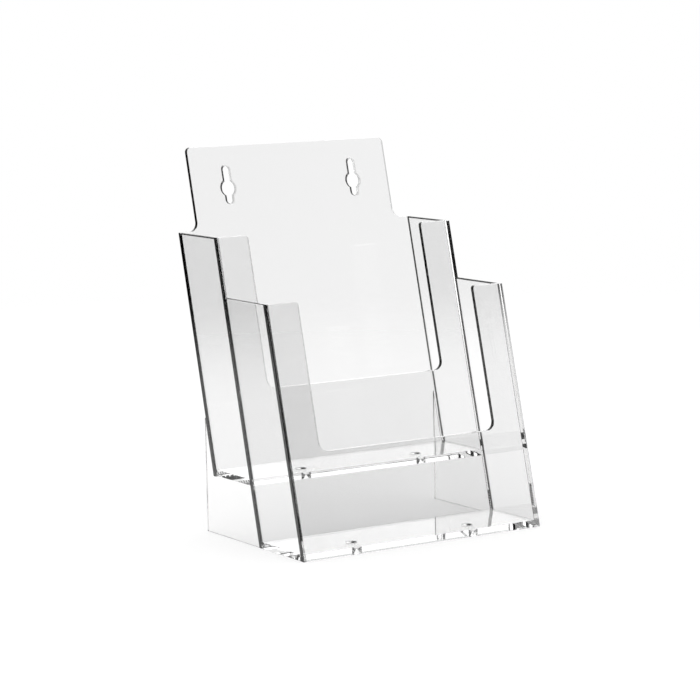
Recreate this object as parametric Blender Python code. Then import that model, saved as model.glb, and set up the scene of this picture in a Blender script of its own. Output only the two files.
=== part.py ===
# Two-tier leaflet rack in clear plastic. It stands on a counter, or hangs by two keyholes.
# The front faces -Y. The origin is the centre of the bounding box, on the table.
# Two pockets step up towards the back, and every slanted plate leans back by the same angle.
# So each slanted plate is drawn upright and then sheared, which keeps its ends level.

import math

import bmesh
import bpy
from mathutils import Matrix

# Driving dimensions, in metres and radians. Heights are above the table unless they say otherwise.
rack_width = 0.160
lean = math.radians(14.14)
wall = 0.0024
floor_thickness = 0.0035
seam = 0.0003

front_pocket_depth = 0.0450
front_pocket_height = 0.1387
front_sill_height = 0.0570

rear_floor_height = 0.0341
rear_pocket_depth = 0.0444
rear_pocket_height = 0.1379
rear_sill_height = 0.0522

flange_width = 0.0210
flange_tip_radius = 0.0020
cutout_radius = 0.0055

tab_rise = 0.0481
tab_corner_radius = 0.0030
shoulder_width = 0.0120
shoulder_radius = 0.0055

keyhole_inset = 0.0247
keyhole_below_tab_top = 0.0247
keyhole_head_radius = 0.0046
keyhole_slot_width = 0.0045
keyhole_slot_rise = 0.0107
keyhole_slot_drop = 0.0067

drain_diameter = 0.0060
drain_inset = 0.0381
drain_setback = 0.0165

stand_rise = 0.0325
stand_tip = 0.0008

arc_steps = 16
drain_sides = 48
cutter_margin = 0.004

# Sizes that follow. A slanted plate's run is its thickness, or a seam's, measured along Y.
plate_run = wall / math.cos(lean)
seam_run = seam / math.cos(lean)
half_width = rack_width / 2
inner_half_width = half_width - wall
rear_pocket_top = rear_floor_height + rear_pocket_height
tab_top = rear_pocket_top + tab_rise
tab_half_width = half_width - shoulder_width
stand_top = rear_floor_height + stand_rise

# Faces of the slanted plates along Y at table height, from the front face of the front plate.
front_plate_back = plate_run
middle_plate_front = front_pocket_depth
middle_plate_back = middle_plate_front + plate_run
back_plate_back = front_pocket_depth + rear_pocket_depth
back_plate_front = back_plate_back - plate_run


def leaned(height):
    """How far back a slanted plate has leaned at this height."""
    return height * math.tan(lean)


rack_depth = back_plate_back + leaned(tab_top)


def in_frame(y):
    """A distance from the foot of the front plate, as Y in the rack's frame."""
    return y - rack_depth / 2


def fresh_collection(name):
    """A new collection of this name in the scene."""
    made = bpy.data.collections.new(name)
    bpy.context.scene.collection.children.link(made)
    return made


def clear_plastic(name):
    """Clear polished styrene."""
    material = bpy.data.materials.new(name)
    material.use_nodes = True
    shader = material.node_tree.nodes["Principled BSDF"]
    shader.inputs["Base Color"].default_value = (0.93, 0.95, 0.96, 1.0)
    shader.inputs["Roughness"].default_value = 0.03
    shader.inputs["Metallic"].default_value = 0.0
    shader.inputs["IOR"].default_value = 1.59
    shader.inputs["Transmission Weight"].default_value = 1.0
    return material


def rounded(corners):
    """The points of an outline whose corners are (across, up, radius), each round one as an arc."""
    points = []
    count = len(corners)
    for i, (across, up, radius) in enumerate(corners):
        if radius == 0:
            points.append((across, up))
            continue
        before, after = corners[i - 1], corners[(i + 1) % count]
        inward = math.atan2(before[1] - up, before[0] - across)
        outward = math.atan2(after[1] - up, after[0] - across)
        turn = (outward - inward + math.pi) % (2 * math.pi) - math.pi
        middle = inward + turn / 2
        reach = radius / math.sin(abs(turn) / 2)
        centre = (across + reach * math.cos(middle), up + reach * math.sin(middle))
        start = inward - math.copysign(math.pi / 2, turn)
        sweep = math.copysign(math.pi - abs(turn), -turn)
        for step in range(arc_steps + 1):
            angle = start + sweep * step / arc_steps
            points.append((centre[0] + radius * math.cos(angle), centre[1] + radius * math.sin(angle)))
    return points


def keyhole(across, up):
    """A keyhole's outline: a round head, a slot above it and a shorter one below it."""
    half_slot = keyhole_slot_width / 2
    meet = math.asin(half_slot / keyhole_head_radius)
    arcs = (
        (up + keyhole_slot_rise, half_slot, 0, math.pi),
        (up, keyhole_head_radius, math.pi / 2 + meet, 3 * math.pi / 2 - meet),
        (up - keyhole_slot_drop, half_slot, math.pi, 2 * math.pi),
        (up, keyhole_head_radius, meet - math.pi / 2, math.pi / 2 - meet),
    )
    points = []
    for height, radius, first, last in arcs:
        for step in range(2 * arc_steps + 1):
            angle = first + (last - first) * step / (2 * arc_steps)
            points.append((across + radius * math.cos(angle), height + radius * math.sin(angle)))
    return points


def flat_mesh(name, loops, thickness):
    """A flat outline and its holes, drawn in XY and made solid by this thickness, half of it each way."""
    curve = bpy.data.curves.new(name, "CURVE")
    curve.dimensions = "2D"
    curve.fill_mode = "BOTH"
    curve.extrude = thickness / 2
    for loop in loops:
        spline = curve.splines.new("POLY")
        spline.points.add(len(loop) - 1)
        for point, (x, y) in zip(spline.points, loop):
            point.co = (x, y, 0, 1)
        spline.use_cyclic_u = True
    drawn = bpy.data.objects.new(name + "_outline", curve)
    bpy.context.scene.collection.objects.link(drawn)
    evaluated = drawn.evaluated_get(bpy.context.evaluated_depsgraph_get())
    mesh = bpy.data.meshes.new_from_object(evaluated)
    bpy.data.objects.remove(drawn)
    welded = bmesh.new()
    welded.from_mesh(mesh)
    bmesh.ops.remove_doubles(welded, verts=welded.verts, dist=0.00001)
    bmesh.ops.recalc_face_normals(welded, faces=welded.faces)
    welded.to_mesh(mesh)
    welded.free()
    mesh.name = name
    return mesh


# How a drawn outline stands: across the rack, or along its side.
across_rack = Matrix.Rotation(math.pi / 2, 4, "X")
along_side = Matrix.Rotation(math.pi / 2, 4, "Z") @ across_rack
shear = Matrix(((1, 0, 0, 0), (0, 1, math.tan(lean), 0), (0, 0, 1, 0), (0, 0, 0, 1)))


def plate(name, loops, thickness, stance, location):
    """A plate as its own object, with its own material, standing as stance says."""
    mesh = flat_mesh(name, loops, thickness)
    mesh.transform(stance)
    mesh.shade_smooth()
    mesh.set_sharp_from_angle(angle=math.radians(30))
    mesh.materials.clear()
    mesh.materials.append(clear_plastic(name + "_plastic"))
    made = bpy.data.objects.new(name, mesh)
    made.location = location
    rack.objects.link(made)
    return made


def fronted_plate(name, face, foot, height, sill_height):
    """A slanted U-shaped plate, open between its two flanges above the sill. foot is where it starts."""
    opening = half_width - flange_width
    sill = sill_height - foot
    corners = [
        (-half_width, 0, 0),
        (half_width, 0, 0),
        (half_width, height, 0),
        (opening, height, flange_tip_radius),
        (opening, sill, cutout_radius),
        (-opening, sill, cutout_radius),
        (-opening, height, flange_tip_radius),
        (-half_width, height, 0),
    ]
    middle = face + plate_run / 2 + leaned(foot)
    return plate(name, [rounded(corners)], plate_run, shear @ across_rack, (0, in_frame(middle), foot))


def back_plate():
    """The plate that both pockets lean against, with shoulders, a narrower tab and two keyholes."""
    foot = rear_floor_height
    shoulder = rear_pocket_top - foot
    top = tab_top - foot
    right = [
        (half_width, 0, 0),
        (half_width, shoulder, 0),
        (tab_half_width, shoulder, shoulder_radius),
        (tab_half_width, top, tab_corner_radius),
    ]
    left = [(-across, up, radius) for across, up, radius in reversed(right)]
    keyhole_across = tab_half_width - keyhole_inset
    keyhole_up = top - keyhole_below_tab_top
    loops = [rounded(right + left), keyhole(-keyhole_across, keyhole_up), keyhole(keyhole_across, keyhole_up)]
    middle = back_plate_back - plate_run / 2 + leaned(foot)
    return plate("back_panel", loops, plate_run, shear @ across_rack, (0, in_frame(middle), foot))


def pocket_side(name, side, front, back, foot, height):
    """A pocket's side plate, between the plate in front of it and the one behind it."""
    start, end = front + seam_run, back - seam_run
    loop = [(0, 0), (end - start, 0), (end - start, height), (0, height)]
    location = (side * (half_width - wall / 2), in_frame(start + leaned(foot)), foot)
    return plate(name, [loop], wall, shear @ along_side, location)


def pocket_floor(name, front, back, foot):
    """A pocket's floor, between its side plates and its front and back plates, with two drain holes."""
    start, end = front + plate_run + seam_run, back - seam_run
    half_length = inner_half_width - seam
    loop = [(0, 0), (end - start, 0), (end - start, floor_thickness), (0, floor_thickness)]
    made = plate(name, [loop], 2 * half_length, shear @ along_side, (0, in_frame(start + leaned(foot)), foot))
    for side in (-1, 1):
        cutter = drain_cutter(
            f"{name}_drain_{'left' if side < 0 else 'right'}",
            side * (inner_half_width - drain_inset),
            in_frame(front + leaned(foot) + drain_setback),
            foot + floor_thickness / 2,
        )
        cut = made.modifiers.new(cutter.name, "BOOLEAN")
        cut.operation = "DIFFERENCE"
        cut.solver = "EXACT"
        cut.object = cutter
    return made


def drain_cutter(name, x, y, z):
    """An upright cylinder that cuts one drain hole."""
    drawn = bmesh.new()
    bmesh.ops.create_cone(
        drawn,
        cap_ends=True,
        segments=drain_sides,
        radius1=drain_diameter / 2,
        radius2=drain_diameter / 2,
        depth=floor_thickness + 2 * cutter_margin,
    )
    mesh = bpy.data.meshes.new(name)
    drawn.to_mesh(mesh)
    drawn.free()
    cutter = bpy.data.objects.new(name, mesh)
    cutter.location = (x, y, z)
    cutter.hide_render = True
    cutter.display_type = "WIRE"
    cutters.objects.link(cutter)
    return cutter


def stand_side(name, side):
    """An upright plate that holds up the rear pocket: it fills the step under it and props the back."""
    under_pocket = rear_floor_height - seam
    before = middle_plate_back + seam_run
    behind = back_plate_back + seam_run
    rear = behind + leaned(stand_top) + stand_tip
    loop = [
        (before, 0),
        (rear, 0),
        (rear, stand_top),
        (behind + leaned(stand_top), stand_top),
        (behind + leaned(under_pocket), under_pocket),
        (before + leaned(under_pocket), under_pocket),
    ]
    return plate(name, [loop], wall, along_side, (side * (half_width - wall / 2), in_frame(0), 0))


for old in list(bpy.data.objects):
    bpy.data.objects.remove(old)
rack = fresh_collection("leaflet_rack")
cutters = fresh_collection("cutters")

fronted_plate("front_panel", 0, 0, front_pocket_height, front_sill_height)
fronted_plate("middle_panel", middle_plate_front, 0, rear_pocket_top, rear_floor_height + rear_sill_height)
back_plate()
pocket_floor("front_floor", 0, middle_plate_front, 0)
pocket_floor("rear_floor", middle_plate_front, back_plate_front, rear_floor_height)
for hand, side in (("left", -1), ("right", 1)):
    pocket_side(f"front_pocket_{hand}_side", side, front_plate_back, middle_plate_front, 0, front_pocket_height)
    pocket_side(
        f"rear_pocket_{hand}_side",
        side,
        middle_plate_back,
        back_plate_front,
        rear_floor_height,
        rear_pocket_height,
    )
    stand_side(f"stand_{hand}_side", side)
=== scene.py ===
import math

import bmesh
import bpy
from mathutils import Matrix, Vector


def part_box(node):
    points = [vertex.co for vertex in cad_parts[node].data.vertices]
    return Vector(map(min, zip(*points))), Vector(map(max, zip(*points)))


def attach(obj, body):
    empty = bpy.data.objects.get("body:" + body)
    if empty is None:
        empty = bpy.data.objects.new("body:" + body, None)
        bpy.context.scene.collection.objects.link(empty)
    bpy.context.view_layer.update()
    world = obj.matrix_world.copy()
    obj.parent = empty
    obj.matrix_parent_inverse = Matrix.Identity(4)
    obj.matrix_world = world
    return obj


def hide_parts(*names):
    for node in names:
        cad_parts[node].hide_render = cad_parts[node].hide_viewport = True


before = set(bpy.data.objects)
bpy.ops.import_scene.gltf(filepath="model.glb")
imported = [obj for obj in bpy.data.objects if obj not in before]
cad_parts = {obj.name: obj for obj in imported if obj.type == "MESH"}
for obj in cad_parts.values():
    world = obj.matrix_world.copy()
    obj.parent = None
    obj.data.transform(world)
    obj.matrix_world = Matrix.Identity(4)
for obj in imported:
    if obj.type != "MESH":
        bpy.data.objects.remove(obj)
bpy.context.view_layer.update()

print("frame loaded:", len(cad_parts), "nodes")

# The rack is modelled upright, its slanted plates square to the table, and leaned back at the end.
# A plate's "foot" is where its front face would meet the table.
frontLow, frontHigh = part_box("front_panel")
middleLow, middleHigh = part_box("middle_panel")
backLow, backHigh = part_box("back_panel")
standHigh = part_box("stand_left_side")[1]
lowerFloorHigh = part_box("front_floor")[1]
upperFloorLow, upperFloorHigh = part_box("rear_floor")
sideLow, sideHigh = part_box("front_pocket_left_side")

leanSlope = ((backHigh.y - backLow.y) - (frontHigh.y - frontLow.y)) / (
    (backHigh.z - backLow.z) - (frontHigh.z - frontLow.z)
)
halfWidth = frontHigh.x
innerHalf = halfWidth - (sideHigh.x - sideLow.x)
plateRun = frontHigh.y - frontLow.y - leanSlope * frontHigh.z
frontFoot = frontLow.y
middleFoot = middleLow.y
backFoot = backLow.y - leanSlope * backLow.z
leanBack = Matrix(((1, 0, 0, 0), (0, 1, leanSlope, 0), (0, 0, 1, 0), (0, 0, 0, 1)))
touching = 0.000001  # points this close are one point
sameLine = 0.00001  # and points this close share a line


def boxSolid(low, high):
    made = bmesh.new()
    bmesh.ops.create_cube(made, size=1)
    low, high = Vector(low), Vector(high)
    bmesh.ops.scale(made, vec=high - low, verts=made.verts)
    bmesh.ops.translate(made, vec=(low + high) / 2, verts=made.verts)
    return made


def cutAcross(made, across):
    # a cut line right across the plate, for a part of its top to be pulled up beside
    bmesh.ops.bisect_plane(
        made, geom=made.verts[:] + made.edges[:] + made.faces[:], dist=touching / 10,
        plane_co=(across, 0, 0), plane_no=(1, 0, 0),
    )


def pullUp(made, height, keep):
    # extrudes the top faces whose middle passes keep, up to this height
    top = max(vert.co.z for vert in made.verts)
    chosen = [
        face for face in made.faces
        if face.normal.z > 0.9 and abs(face.calc_center_median().z - top) < touching
        and keep(face.calc_center_median().x)
    ]
    grown = bmesh.ops.extrude_face_region(made, geom=chosen)
    raised = [item for item in grown["geom"] if isinstance(item, bmesh.types.BMVert)]
    bmesh.ops.translate(made, vec=(0, 0, height - top), verts=raised)
    bmesh.ops.delete(made, geom=chosen, context="FACES")
    bmesh.ops.remove_doubles(made, verts=made.verts, dist=touching)
    bmesh.ops.recalc_face_normals(made, faces=made.faces)
    made.normal_update()


def roundEdges(made, edges, radius, steps):
    bmesh.ops.bevel(
        made, geom=edges, offset=radius, offset_type="OFFSET", segments=steps, profile=0.5,
        affect="EDGES", clamp_overlap=False, material=-1,
    )


def roundThrough(made, across, height, radius, steps):
    # rounds the corners that run through a plate, at this distance either side of the middle and this height
    edges = [
        edge for edge in made.edges
        if all(abs(abs(vert.co.x) - across) < sameLine for vert in edge.verts)
        and all(abs(vert.co.z - height) < sameLine for vert in edge.verts)
        and abs(edge.verts[0].co.x - edge.verts[1].co.x) < sameLine
    ]
    roundEdges(made, edges, radius, steps)


def solidObject(name, made):
    bmesh.ops.remove_doubles(made, verts=made.verts, dist=touching)
    bmesh.ops.recalc_face_normals(made, faces=made.faces)
    mesh = bpy.data.meshes.new(name)
    made.to_mesh(mesh)
    made.free()
    shape = bpy.data.objects.new(name, mesh)
    bpy.context.scene.collection.objects.link(shape)
    return shape


def setOrder(made):
    # a boolean hands its corners back in any order, so they are ordered by where they are
    places = {vert: rank for rank, vert in enumerate(sorted(made.verts, key=lambda vert: vert.co[:]))}
    made.verts.sort(key=places.get)
    made.verts.index_update()
    for parts in (made.edges, made.faces):
        inOrder = sorted(parts, key=lambda part: sorted(vert.index for vert in part.verts))
        ranks = {part: rank for rank, part in enumerate(inOrder)}
        parts.sort(key=ranks.get)
        parts.index_update()


crumbs = {"size": 0.00004, "thin": 0.00001, "flat": 0.01}  # the last is an angle


def mendShape(mesh):
    # merges the crumbs a boolean leaves and joins faces that lie flat against each other
    made = bmesh.new()
    made.from_mesh(mesh)
    setOrder(made)
    bmesh.ops.remove_doubles(made, verts=made.verts, dist=crumbs["size"])
    bmesh.ops.dissolve_degenerate(made, edges=made.edges, dist=crumbs["thin"])
    bmesh.ops.dissolve_limit(
        made, angle_limit=crumbs["flat"], verts=made.verts, edges=made.edges, delimit={"MATERIAL"},
    )
    bmesh.ops.delete(made, geom=[edge for edge in made.edges if not edge.link_faces], context="EDGES")
    made.normal_update()
    made.to_mesh(mesh)
    report = f"{len(made.faces)} faces, {sum(1 for edge in made.edges if not edge.is_manifold)} gaps"
    made.free()
    return report


def combine(shape, other, operation):
    # one exact boolean, applied, after which the other shape is gone
    step = shape.modifiers.new("join", "BOOLEAN")
    step.operation = operation
    step.solver = "EXACT"
    step.material_mode = "TRANSFER"
    step.object = other
    finished = bpy.data.meshes.new_from_object(shape.evaluated_get(bpy.context.evaluated_depsgraph_get()))
    shape.modifiers.clear()
    shape.data = finished
    bpy.data.objects.remove(other)
    print(" ", shape.name, operation.lower(), mendShape(finished))


panelShape = {
    "flangeWidth": 0.0210,  # what is left each side of a pocket's opening
    "flangeTip": 0.0020,
    "openingCorner": 0.0055,
    "frontSill": 0.0570,
    "rearSill": 0.0863,
    "arcSteps": 14,
}


def pocketPanel(name, foot, top, sill):
    made = boxSolid((-halfWidth, foot, 0), (halfWidth, foot + plateRun, sill))
    opening = halfWidth - panelShape["flangeWidth"]
    for side in (-1, 1):
        cutAcross(made, side * opening)
    pullUp(made, top, lambda across: abs(across) > opening)
    roundThrough(made, opening, sill, panelShape["openingCorner"], panelShape["arcSteps"])
    roundThrough(made, opening, top, panelShape["flangeTip"], panelShape["arcSteps"])
    return solidObject(name, made)


tabShape = {
    "shoulderWidth": 0.0120,
    "shoulderCorner": 0.0055,
    "tabCorner": 0.0030,
    "keyholeInset": 0.0247,  # from the tab's side and from its top
    "keyholeHead": 0.0046,
    "slotWidth": 0.0045,
    "slotRise": 0.0107,
    "slotDrop": 0.0067,
    "arcSteps": 14,
}


def tabPanel(name):
    shoulder = middleHigh.z
    tabHalf = halfWidth - tabShape["shoulderWidth"]
    made = boxSolid((-halfWidth, backFoot, backLow.z), (halfWidth, backFoot + plateRun, shoulder))
    for side in (-1, 1):
        cutAcross(made, side * tabHalf)
    pullUp(made, backHigh.z, lambda across: abs(across) < tabHalf)
    roundThrough(made, tabHalf, shoulder, tabShape["shoulderCorner"], tabShape["arcSteps"])
    roundThrough(made, tabHalf, backHigh.z, tabShape["tabCorner"], tabShape["arcSteps"])
    panel = solidObject(name, made)
    for side in (-1, 1):
        across = side * (tabHalf - tabShape["keyholeInset"])
        height = backHigh.z - tabShape["keyholeInset"]
        head = roundCutter(across, backFoot + plateRun / 2, height, tabShape["keyholeHead"], "Y")
        combine(panel, head, "DIFFERENCE")
        combine(panel, slotCutter(across, height), "DIFFERENCE")
    return panel


cutterShape = {
    "length": 0.020,
    "roundSteps": 48,
    "slotPast": 0.005,  # how far the slot cutter stands out of the plate, each side
    "slotSteps": 12,
    "slotShare": 0.999,  # of a full half circle, so its two ends don't meet
}


def roundCutter(x, y, z, radius, axis):
    made = bmesh.new()
    turn = Matrix.Rotation(math.pi / 2, 4, "X") if axis == "Y" else Matrix.Identity(4)
    bmesh.ops.create_cone(
        made, cap_ends=True, segments=cutterShape["roundSteps"], radius1=radius, radius2=radius,
        depth=cutterShape["length"], matrix=Matrix.Translation((x, y, z)) @ turn,
    )
    return solidObject("roundCutter", made)


def slotCutter(across, height):
    half = tabShape["slotWidth"] / 2
    past = cutterShape["slotPast"]
    low = (across - half, backFoot - past, height - tabShape["slotDrop"] - half)
    high = (across + half, backFoot + plateRun + past, height + tabShape["slotRise"] + half)
    made = boxSolid(low, high)
    through = [edge for edge in made.edges if abs(edge.verts[0].co.y - edge.verts[1].co.y) > past]
    roundEdges(made, through, half * cutterShape["slotShare"], cutterShape["slotSteps"])
    return solidObject("slotCutter", made)


def sideSlab(name, side):
    # the whole side of the rack as one plate, its outline drawn in the leaned-back rack's own profile
    rear = standHigh.y
    outline = (
        (frontFoot, 0), (frontFoot, frontHigh.z), (middleFoot, frontHigh.z), (middleFoot, middleHigh.z),
        (backFoot + plateRun, middleHigh.z), (backFoot + plateRun, standHigh.z),
        (rear - leanSlope * standHigh.z, standHigh.z), (rear, 0),
    )
    made = bmesh.new()
    inner = side * innerHalf
    face = made.faces.new([made.verts.new((inner, along, up)) for along, up in outline])
    grown = bmesh.ops.extrude_face_region(made, geom=[face])
    moved = [item for item in grown["geom"] if isinstance(item, bmesh.types.BMVert)]
    bmesh.ops.translate(made, vec=(side * (halfWidth - innerHalf), 0, 0), verts=moved)
    return solidObject(name, made)


floorShape = {"drainRadius": 0.0030, "drainInset": 0.0381, "drainSetback": 0.0165}


def pocketFloor(name, plateFoot, back, low, high):
    # the floor runs a little way into the plates round it, which it is cemented to
    bite = plateRun / 2
    reach = (innerHalf + halfWidth) / 2
    shelf = solidObject(name, boxSolid((-reach, plateFoot + bite, low), (reach, back + bite, high)))
    for side in (-1, 1):
        across = side * (innerHalf - floorShape["drainInset"])
        along = plateFoot + leanSlope * low + floorShape["drainSetback"]
        drain = roundCutter(across, along, (low + high) / 2, floorShape["drainRadius"], "Z")
        drain.data.transform(leanBack.inverted())  # the holes stay upright
        combine(shelf, drain, "DIFFERENCE")
    return shelf


print("joining the plates")
rack = pocketPanel("rack", frontFoot, frontHigh.z, panelShape["frontSill"])
combine(rack, sideSlab("leftSlab", -1), "UNION")
combine(rack, sideSlab("rightSlab", 1), "UNION")
combine(rack, pocketPanel("middlePlate", middleFoot, middleHigh.z, panelShape["rearSill"]), "UNION")
combine(rack, tabPanel("backPlate"), "UNION")
combine(rack, pocketFloor("lowerFloor", frontFoot, middleFoot, 0, lowerFloorHigh.z), "UNION")
combine(rack, pocketFloor("upperFloor", middleFoot, backFoot, upperFloorLow.z, upperFloorHigh.z), "UNION")


styreneLookAndPaintedLight = {
    "ior": 1.57,
    "panelShadedTint": (0.955, 0.985),  # painted shade, darker at the left: how much passes a surface, at the left and at the right
    # painted shade as well: the front plate much darker at the left, the side plates a little darker at the
    # left
    "frontShadedTint": (0.870, 0.980),
    "sideShadedTint": (0.985, 1.000),
    "paintedEdgeDark": (0.004, 0.010),  # painted reflection: a cut edge is painted near black for the dark of everything behind it that it gathers
    "edgeGloss": 0.1,
    "shadedLeftSeamTint": 0.55,  # painted shade: a side plate seen end on is darker
    "paintedPaleEndTint": 0.80,  # painted light: the ends that face the light are pale
    "paintedPaleEndClear": 0.75,
    "driftScale": 14.0,
    "drift": 0.35,
    "flowScale": 60.0,
    "flowHeight": 0.000004,
    "flowUp": (1, 1, 0.35),  # the melt flowed up the plates
    "scuffScale": 900.0,
    "scuffFrom": 0.45,
    "scuffTo": 0.75,
    "noiseDetail": 2,
    "roughness": (0.0, 0.012),
}


def clearStyrene(name, tint):
    material = bpy.data.materials.new(name)
    material.use_nodes = True
    nodes, links = material.node_tree.nodes, material.node_tree.links
    shader = nodes["Principled BSDF"]
    shader.inputs["IOR"].default_value = styreneLookAndPaintedLight["ior"]
    shader.inputs["Transmission Weight"].default_value = 1
    place = nodes.new("ShaderNodeTexCoord")
    stretch = nodes.new("ShaderNodeMapping")
    stretch.inputs["Scale"].default_value = styreneLookAndPaintedLight["flowUp"]
    links.new(place.outputs["Object"], stretch.inputs["Vector"])
    noises = {}
    for part in ("drift", "flow", "scuff"):
        noise = nodes.new("ShaderNodeTexNoise")
        noise.inputs["Scale"].default_value = styreneLookAndPaintedLight[part + "Scale"]
        noise.inputs["Detail"].default_value = styreneLookAndPaintedLight["noiseDetail"]
        links.new(stretch.outputs["Vector"], noise.inputs["Vector"])
        noises[part] = noise
    # the grey runs across the rack as painted shade, darker at the left, mixed with a random drift of tone
    parts = nodes.new("ShaderNodeSeparateXYZ")
    links.new(place.outputs["Object"], parts.inputs["Vector"])
    across = nodes.new("ShaderNodeMapRange")
    across.inputs["From Min"].default_value = -halfWidth
    across.inputs["From Max"].default_value = halfWidth
    links.new(parts.outputs["X"], across.inputs["Value"])
    leftShadeAndDrift = nodes.new("ShaderNodeMix")
    leftShadeAndDrift.data_type = "FLOAT"
    leftShadeAndDrift.inputs["Factor"].default_value = styreneLookAndPaintedLight["drift"]
    links.new(across.outputs["Result"], leftShadeAndDrift.inputs["A"])
    links.new(noises["drift"].outputs["Fac"], leftShadeAndDrift.inputs["B"])
    shadeAndToneGrey = nodes.new("ShaderNodeMix")
    shadeAndToneGrey.data_type = "RGBA"
    for end, share in zip("AB", tint):
        shadeAndToneGrey.inputs[end].default_value = (share, share, share, 1)
    links.new(leftShadeAndDrift.outputs["Result"], shadeAndToneGrey.inputs["Factor"])
    links.new(shadeAndToneGrey.outputs["Result"], shader.inputs["Base Color"])
    scuff = nodes.new("ShaderNodeMapRange")
    scuff.inputs["From Min"].default_value = styreneLookAndPaintedLight["scuffFrom"]
    scuff.inputs["From Max"].default_value = styreneLookAndPaintedLight["scuffTo"]
    scuff.inputs["To Min"].default_value = styreneLookAndPaintedLight["roughness"][0]
    scuff.inputs["To Max"].default_value = styreneLookAndPaintedLight["roughness"][1]
    links.new(noises["scuff"].outputs["Fac"], scuff.inputs["Value"])
    links.new(scuff.outputs["Result"], shader.inputs["Roughness"])
    ripple = nodes.new("ShaderNodeBump")
    ripple.inputs["Distance"].default_value = styreneLookAndPaintedLight["flowHeight"]
    links.new(noises["flow"].outputs["Fac"], ripple.inputs["Height"])
    links.new(ripple.outputs["Normal"], shader.inputs["Normal"])
    return material


def bondedSeam(name, tint):
    # where two plates are cemented, light passes straight through
    material = bpy.data.materials.new(name)
    material.use_nodes = True
    nodes, links = material.node_tree.nodes, material.node_tree.links
    nodes.remove(nodes["Principled BSDF"])
    through = nodes.new("ShaderNodeBsdfTransparent")
    through.inputs["Color"].default_value = (tint, tint, tint, 1)
    links.new(through.outputs[0], nodes["Material Output"].inputs["Surface"])
    return material


def paintLitEnd(name, tint):
    # painted light: the clear plastic again, with most of the light let straight through, so that an end
    # reads pale
    material = clearStyrene(name, styreneLookAndPaintedLight["sideShadedTint"])
    nodes, links = material.node_tree.nodes, material.node_tree.links
    through = nodes.new("ShaderNodeBsdfTransparent")
    through.inputs["Color"].default_value = (tint, tint, tint, 1)
    mix = nodes.new("ShaderNodeMixShader")
    mix.inputs[0].default_value = styreneLookAndPaintedLight["paintedPaleEndClear"]
    links.new(nodes["Principled BSDF"].outputs[0], mix.inputs[1])
    links.new(through.outputs[0], mix.inputs[2])
    links.new(mix.outputs[0], nodes["Material Output"].inputs["Surface"])
    return material


print("mixing the finishes")
looksAndPaintedLight = {
    "panel": clearStyrene("clearStyrene", styreneLookAndPaintedLight["panelShadedTint"]),
    "front": clearStyrene("frontStyrene", styreneLookAndPaintedLight["frontShadedTint"]),
    "side": clearStyrene("sideStyrene", styreneLookAndPaintedLight["sideShadedTint"]),
    # painted reflection: the near-black cut edges
    "edge": clearStyrene("paintedDarkEdge", styreneLookAndPaintedLight["paintedEdgeDark"]),
    "seam": bondedSeam("bondedSeam", 1),
    # painted shade: the seams of the left side plates let less through
    "shadedLeftSeam": bondedSeam("shadedLeftSeam", styreneLookAndPaintedLight["shadedLeftSeamTint"]),
    # painted light: pale ends where they face the light
    "paintedPaleEnd": paintLitEnd("paintedPaleEnd", styreneLookAndPaintedLight["paintedPaleEndTint"]),
}
edgeShader = looksAndPaintedLight["edge"].node_tree.nodes["Principled BSDF"]
edgeShader.inputs["Specular IOR Level"].default_value = styreneLookAndPaintedLight["edgeGloss"]
rack.data.materials.clear()
rack.data.materials.append(looksAndPaintedLight["panel"])
rack.data.materials.append(looksAndPaintedLight["seam"])

# the joined rack is split along these planes, so that every piece is a plate of its own and light still
# passes from one to the next as it does through cement
sliver = 0.00035  # a piece keeps this much of what it is cemented to, and its edges are rounded by less
hairline = 0.000005  # half the gap between two cemented pieces
far = 0.4  # well clear of the rack
splitFront = frontFoot + plateRun + sliver
splitMiddle = (middleFoot - sliver, middleFoot + plateRun + sliver)
splitBack = (backFoot - sliver, backFoot + plateRun + sliver)
splitFloor = upperFloorLow.z - sliver
splitSide = innerHalf - sliver
regions = {
    "front_panel": ((-far, -far, -far), (far, splitFront, far)),
    "middle_panel": ((-far, splitMiddle[0], -far), (far, splitMiddle[1], far)),
    "back_panel": ((-far, splitBack[0], splitFloor), (far, splitBack[1], far)),
    "front_floor": ((-splitSide, splitFront, -far), (splitSide, splitMiddle[0], far)),
    "rear_floor": ((-splitSide, splitMiddle[1], -far), (splitSide, splitBack[0], far)),
    "front_pocket_left_side": ((-far, splitFront, -far), (-splitSide, splitMiddle[0], far)),
    "front_pocket_right_side": ((splitSide, splitFront, -far), (far, splitMiddle[0], far)),
    "rear_pocket_left_side": ((-far, splitMiddle[1], splitFloor), (-splitSide, splitBack[0], far)),
    "rear_pocket_right_side": ((splitSide, splitMiddle[1], splitFloor), (far, splitBack[0], far)),
    "stand_left_side": ((-far, splitMiddle[1], -far), (-splitSide, far, splitFloor)),
    "stand_right_side": ((splitSide, splitMiddle[1], -far), (far, far, splitFloor)),
}


edgeShape = {
    "plainRadius": 0.0003,
    "plainSteps": 3,
    "holeRadius": 0.0005,
    "holeSteps": 4,
    "topRadius": 0.0009,  # the side plates' tops are rounder
    "topSteps": 6,
    "cornerTurn": math.radians(30),  # an edge that turns less than this is part of a curve
    "keyholeWithin": 0.050,  # the keyholes' walls are this near the middle, and this far below the tab's top
    "keyholeBelow": 0.008,
    "flatFrom": 0.0010,  # a face wider than this is flat
    "flatTurn": 0.002,
    "roundTurn": 0.7,
}
endTurn = 0.2  # a face whose normal leans this much across the rack is a plate's end
holeTurn = 0.1
topTurn = 0.1
seamTurn = 0.6
slots = {"body": 0, "seam": 1, "edge": 2, "shadedLeftSeam": 3, "paintedPaleEnd": 4}


def isKeyhole(place):
    # true on the walls of the two keyholes, well inside the tab
    if abs(place.x) > edgeShape["keyholeWithin"]:
        return False
    return backHigh.z - 2 * tabShape["keyholeInset"] < place.z < backHigh.z - edgeShape["keyholeBelow"]


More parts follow.
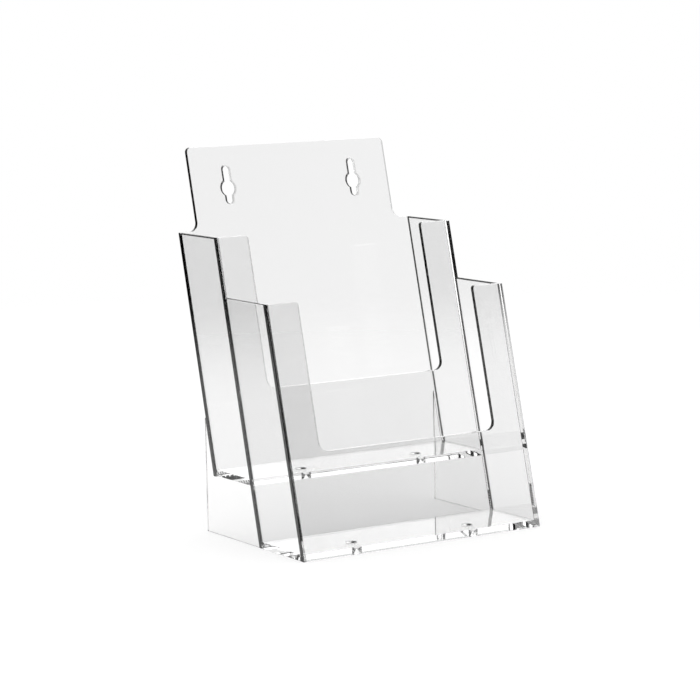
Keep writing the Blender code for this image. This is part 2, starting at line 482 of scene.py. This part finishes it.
def shadeEdges(made):
    # a flat face keeps its own shading, and the narrow strips of a rounding blend into each other
    flat = {
        face for face in made.faces
        if 2 * face.calc_area() / face.calc_perimeter() > edgeShape["flatFrom"]
    }
    for face in made.faces:
        face.smooth = True
    for edge in made.edges:
        besideFlat = any(face in flat for face in edge.link_faces)
        edge.smooth = edge.calc_face_angle(0) < edgeShape["flatTurn" if besideFlat else "roundTurn"]


def pickLookOrPaintedLight(node, face):
    # painted light and shade: a plate's cut ends are painted near black towards the left and pale where they
    # face the light, and so are the keyholes' walls
    middle = face.calc_center_median()
    across = face.normal.x if "panel" in node else 0
    if face.material_index == slots["seam"]:
        # painted shade on the seams of the left side plates seen end on
        return "shadedLeftSeam" if "left_side" in node and abs(face.normal.y) > seamTurn else "seam"
    # painted reflection: most side plates' tops are painted near black
    if "side" in node and face.normal.z > topTurn and node != "front_pocket_left_side":
        return "edge"
    # painted shade and light on the keyholes' walls: near black where they face right, pale where they face
    # left
    if isKeyhole(middle) and abs(across) > holeTurn:
        return "edge" if across > 0 else "paintedPaleEnd"
    if abs(across) <= endTurn:
        return "body"
    # painted shade and light: ends facing left, and the outer ends, near black; ends facing right pale
    return "edge" if across < 0 or abs(middle.x) > innerHalf else "paintedPaleEnd"


def splitPiece(node, low, high):
    low = Vector(low) + Vector([hairline] * 3)
    high = Vector(high) - Vector([hairline] * 3)
    region = solidObject(node + "_region", boxSolid(low, high))
    if node.startswith("stand"):  # the prop behind the back panel belongs to the stand
        prop = boxSolid((low.x, splitBack[1] + hairline, -far / 2), (high.x, far, far))
        combine(region, solidObject("prop", prop), "UNION")
    region.data.materials.clear()
    region.data.materials.append(looksAndPaintedLight["seam"])
    piece = bpy.data.objects.new(node + "_clear", rack.data.copy())
    bpy.context.scene.collection.objects.link(piece)
    combine(piece, region, "INTERSECT")
    made = bmesh.new()
    made.from_mesh(piece.data)
    bmesh.ops.transform(made, matrix=leanBack, verts=made.verts)
    edges = [
        edge for edge in made.edges
        if edge.calc_face_angle_signed(0) > edgeShape["cornerTurn"]
        and not any(face.material_index for face in edge.link_faces)
    ]
    top = max(vert.co.z for vert in made.verts) - sameLine
    groups = {"plain": [], "top": [], "hole": []}
    for edge in edges:
        middle = (edge.verts[0].co + edge.verts[1].co) / 2
        isTop = "pocket" in node and all(vert.co.z > top for vert in edge.verts)
        groups["top" if isTop else "hole" if isKeyhole(middle) else "plain"].append(edge)
    for kind, chosen in groups.items():
        chosen = [edge for edge in chosen if edge.is_valid]
        if chosen:
            roundEdges(made, chosen, edgeShape[kind + "Radius"], edgeShape[kind + "Steps"])
    bmesh.ops.remove_doubles(made, verts=made.verts, dist=touching)
    shadeEdges(made)
    for face in made.faces:
        face.material_index = slots[pickLookOrPaintedLight(node, face)]
    print(" ", node, len(made.faces), "faces", sum(1 for edge in made.edges if not edge.is_manifold), "gaps")
    made.to_mesh(piece.data)
    made.free()
    body = "side" if "panel" not in node else "front" if node == "front_panel" else "panel"
    piece.data.materials[slots["body"]] = looksAndPaintedLight[body]
    for finish in ("edge", "shadedLeftSeam", "paintedPaleEnd"):
        piece.data.materials.append(looksAndPaintedLight[finish])
    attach(piece, "root")
    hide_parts(node)
    return piece


print("splitting the rack into its pieces")
for node, (low, high) in regions.items():
    splitPiece(node, low, high)
bpy.data.objects.remove(rack)


tableTop = {
    "radius": 1.5,
    "gap": 0.0001,  # the rack stands this far clear of it
    "brightTo": 0.50,  # the glowing part, a painted pool of light, from the middle of the rack
    "darkFrom": 1.25,
    "frontBrightTo": 0.12,  # and towards the front right, where the painted light falls off sooner
    "frontDarkFrom": 0.50,
    "frontToward": (0.53, -0.85, 0),
    "white": 0.35,
    # painted light: the floor glows as well as taking light, which pales the shadows on it
    "paintedGlow": 0.72,
    "roughness": 0.9,
    "rimSteps": 96,
}


def paleFloor():
    made = bmesh.new()
    bmesh.ops.create_circle(made, cap_ends=True, segments=tableTop["rimSteps"], radius=tableTop["radius"])
    bmesh.ops.translate(made, vec=(0, 0, -tableTop["gap"]), verts=made.verts)
    mesh = bpy.data.meshes.new("paleFloor")
    made.to_mesh(mesh)
    made.free()
    floor = bpy.data.objects.new("paleFloor", mesh)
    bpy.context.scene.collection.objects.link(floor)
    material = bpy.data.materials.new("paleFloor")
    material.use_nodes = True
    nodes, links = material.node_tree.nodes, material.node_tree.links
    shader = nodes["Principled BSDF"]
    shader.inputs["Base Color"].default_value = (tableTop["white"], tableTop["white"], tableTop["white"], 1)
    # painted light: the floor's glow
    shader.inputs["Emission Color"].default_value = (1, 1, 1, 1)
    shader.inputs["Emission Strength"].default_value = tableTop["paintedGlow"]
    shader.inputs["Roughness"].default_value = tableTop["roughness"]
    shader.inputs["Specular IOR Level"].default_value = 0.0
    place = nodes.new("ShaderNodeTexCoord")
    reach = nodes.new("ShaderNodeVectorMath")
    reach.operation = "LENGTH"
    links.new(place.outputs["Object"], reach.inputs[0])
    front = nodes.new("ShaderNodeVectorMath")
    front.operation = "DOT_PRODUCT"
    front.inputs[1].default_value = tableTop["frontToward"]
    links.new(place.outputs["Object"], front.inputs[0])
    fades = []
    for distance, start, end in ((reach, "brightTo", "darkFrom"), (front, "frontBrightTo", "frontDarkFrom")):
        fade = nodes.new("ShaderNodeMapRange")
        fade.interpolation_type = "SMOOTHSTEP"
        fade.inputs["From Min"].default_value = tableTop[start]
        fade.inputs["From Max"].default_value = tableTop[end]
        links.new(distance.outputs["Value"], fade.inputs["Value"])
        fades.append(fade)
    away = nodes.new("ShaderNodeMath")
    away.operation = "MAXIMUM"
    for i, fade in enumerate(fades):
        links.new(fade.outputs["Result"], away.inputs[i])
    through = nodes.new("ShaderNodeBsdfTransparent")
    mix = nodes.new("ShaderNodeMixShader")
    links.new(away.outputs["Value"], mix.inputs[0])
    links.new(shader.outputs[0], mix.inputs[1])
    links.new(through.outputs[0], mix.inputs[2])
    links.new(mix.outputs[0], nodes["Material Output"].inputs["Surface"])
    mesh.materials.append(material)


print("table top and studio")
paleFloor()


studioGlow = {
    "sweepHeading": 32.0,  # where the white sweep stands, in degrees round from the back towards the right
    "sweepFrom": 0.50,  # cosines of how far round it starts and is full
    "sweepFull": 0.85,
    "overheadFrom": 0.60,
    "overheadFull": 0.90,
    "dark": 0.01,
    "sweep": 1.6,
    "overhead": 1.0,
    "backdrop": 1.0,
}


def studioWorld():
    # a white sweep behind and a soft light overhead, with a dark room on the viewer's side for reflections
    world = bpy.data.worlds.new("studio")
    bpy.context.scene.world = world
    world.use_nodes = True
    nodes, links = world.node_tree.nodes, world.node_tree.links
    background = nodes["Background"]
    path = nodes.new("ShaderNodeLightPath")
    place = nodes.new("ShaderNodeTexCoord")
    heading = math.radians(studioGlow["sweepHeading"])
    parts = []
    for toward, name in (((math.sin(heading), math.cos(heading), 0), "sweep"), ((0, 0, 1), "overhead")):
        facing = nodes.new("ShaderNodeVectorMath")
        facing.operation = "DOT_PRODUCT"
        facing.inputs[1].default_value = toward
        links.new(place.outputs["Generated"], facing.inputs[0])
        part = nodes.new("ShaderNodeMapRange")
        part.interpolation_type = "SMOOTHSTEP"
        part.inputs["From Min"].default_value = studioGlow[name + "From"]
        part.inputs["From Max"].default_value = studioGlow[name + "Full"]
        part.inputs["To Min"].default_value = studioGlow["dark"]
        part.inputs["To Max"].default_value = studioGlow[name]
        links.new(facing.outputs["Value"], part.inputs["Value"])
        parts.append(part)
    brighter = nodes.new("ShaderNodeMath")
    brighter.operation = "MAXIMUM"
    for i, part in enumerate(parts):
        links.new(part.outputs[0], brighter.inputs[i])
    bounced = nodes.new("ShaderNodeMath")
    bounced.operation = "GREATER_THAN"
    bounced.inputs[1].default_value = 0.5  # true after one reflection
    links.new(path.outputs["Glossy Depth"], bounced.inputs[0])
    mix = nodes.new("ShaderNodeMix")
    mix.data_type = "FLOAT"
    links.new(bounced.outputs[0], mix.inputs["Factor"])
    mix.inputs["A"].default_value = studioGlow["backdrop"]
    links.new(brighter.outputs[0], mix.inputs["B"])
    links.new(mix.outputs["Result"], background.inputs["Strength"])
    background.inputs["Color"].default_value = (1, 1, 1, 1)


studioWorld()


cameraPlace = {
    "x": -0.818,
    "y": -1.2924,
    "z": 0.311,
    "heading": 32.27,
    "dip": 7.76,
    "roll": -1.10,
    "lens": 136.95,
    "sensor": 36,
    "near": 0.05,
    "far": 30,
}


def studioCamera():
    camera = bpy.data.objects.new("camera", bpy.data.cameras.new("camera"))
    bpy.context.scene.collection.objects.link(camera)
    heading, dip, roll = (math.radians(cameraPlace[key]) for key in ("heading", "dip", "roll"))
    ahead = Vector((math.sin(heading) * math.cos(dip), math.cos(heading) * math.cos(dip), -math.sin(dip)))
    right = Vector((math.cos(heading), -math.sin(heading), 0))
    up = right.cross(ahead)
    tilted = (
        math.cos(roll) * right + math.sin(roll) * up,
        math.cos(roll) * up - math.sin(roll) * right,
        -ahead,
    )
    camera.matrix_world = (
        Matrix.Translation((cameraPlace["x"], cameraPlace["y"], cameraPlace["z"]))
        @ Matrix(tilted).transposed().to_4x4()
    )
    camera.data.lens = cameraPlace["lens"]
    camera.data.sensor_width = cameraPlace["sensor"]
    camera.data.clip_start = cameraPlace["near"]
    camera.data.clip_end = cameraPlace["far"]
    bpy.context.scene.camera = camera


print("camera and look")
studioCamera()

look = bpy.context.scene
look.view_settings.view_transform = "Standard"
# clear plastic needs many bounces before the light is out of it again
look.cycles.max_bounces = 48
look.cycles.transmission_bounces = 40
look.cycles.glossy_bounces = 32
look.cycles.diffuse_bounces = 4
look.cycles.transparent_max_bounces = 48
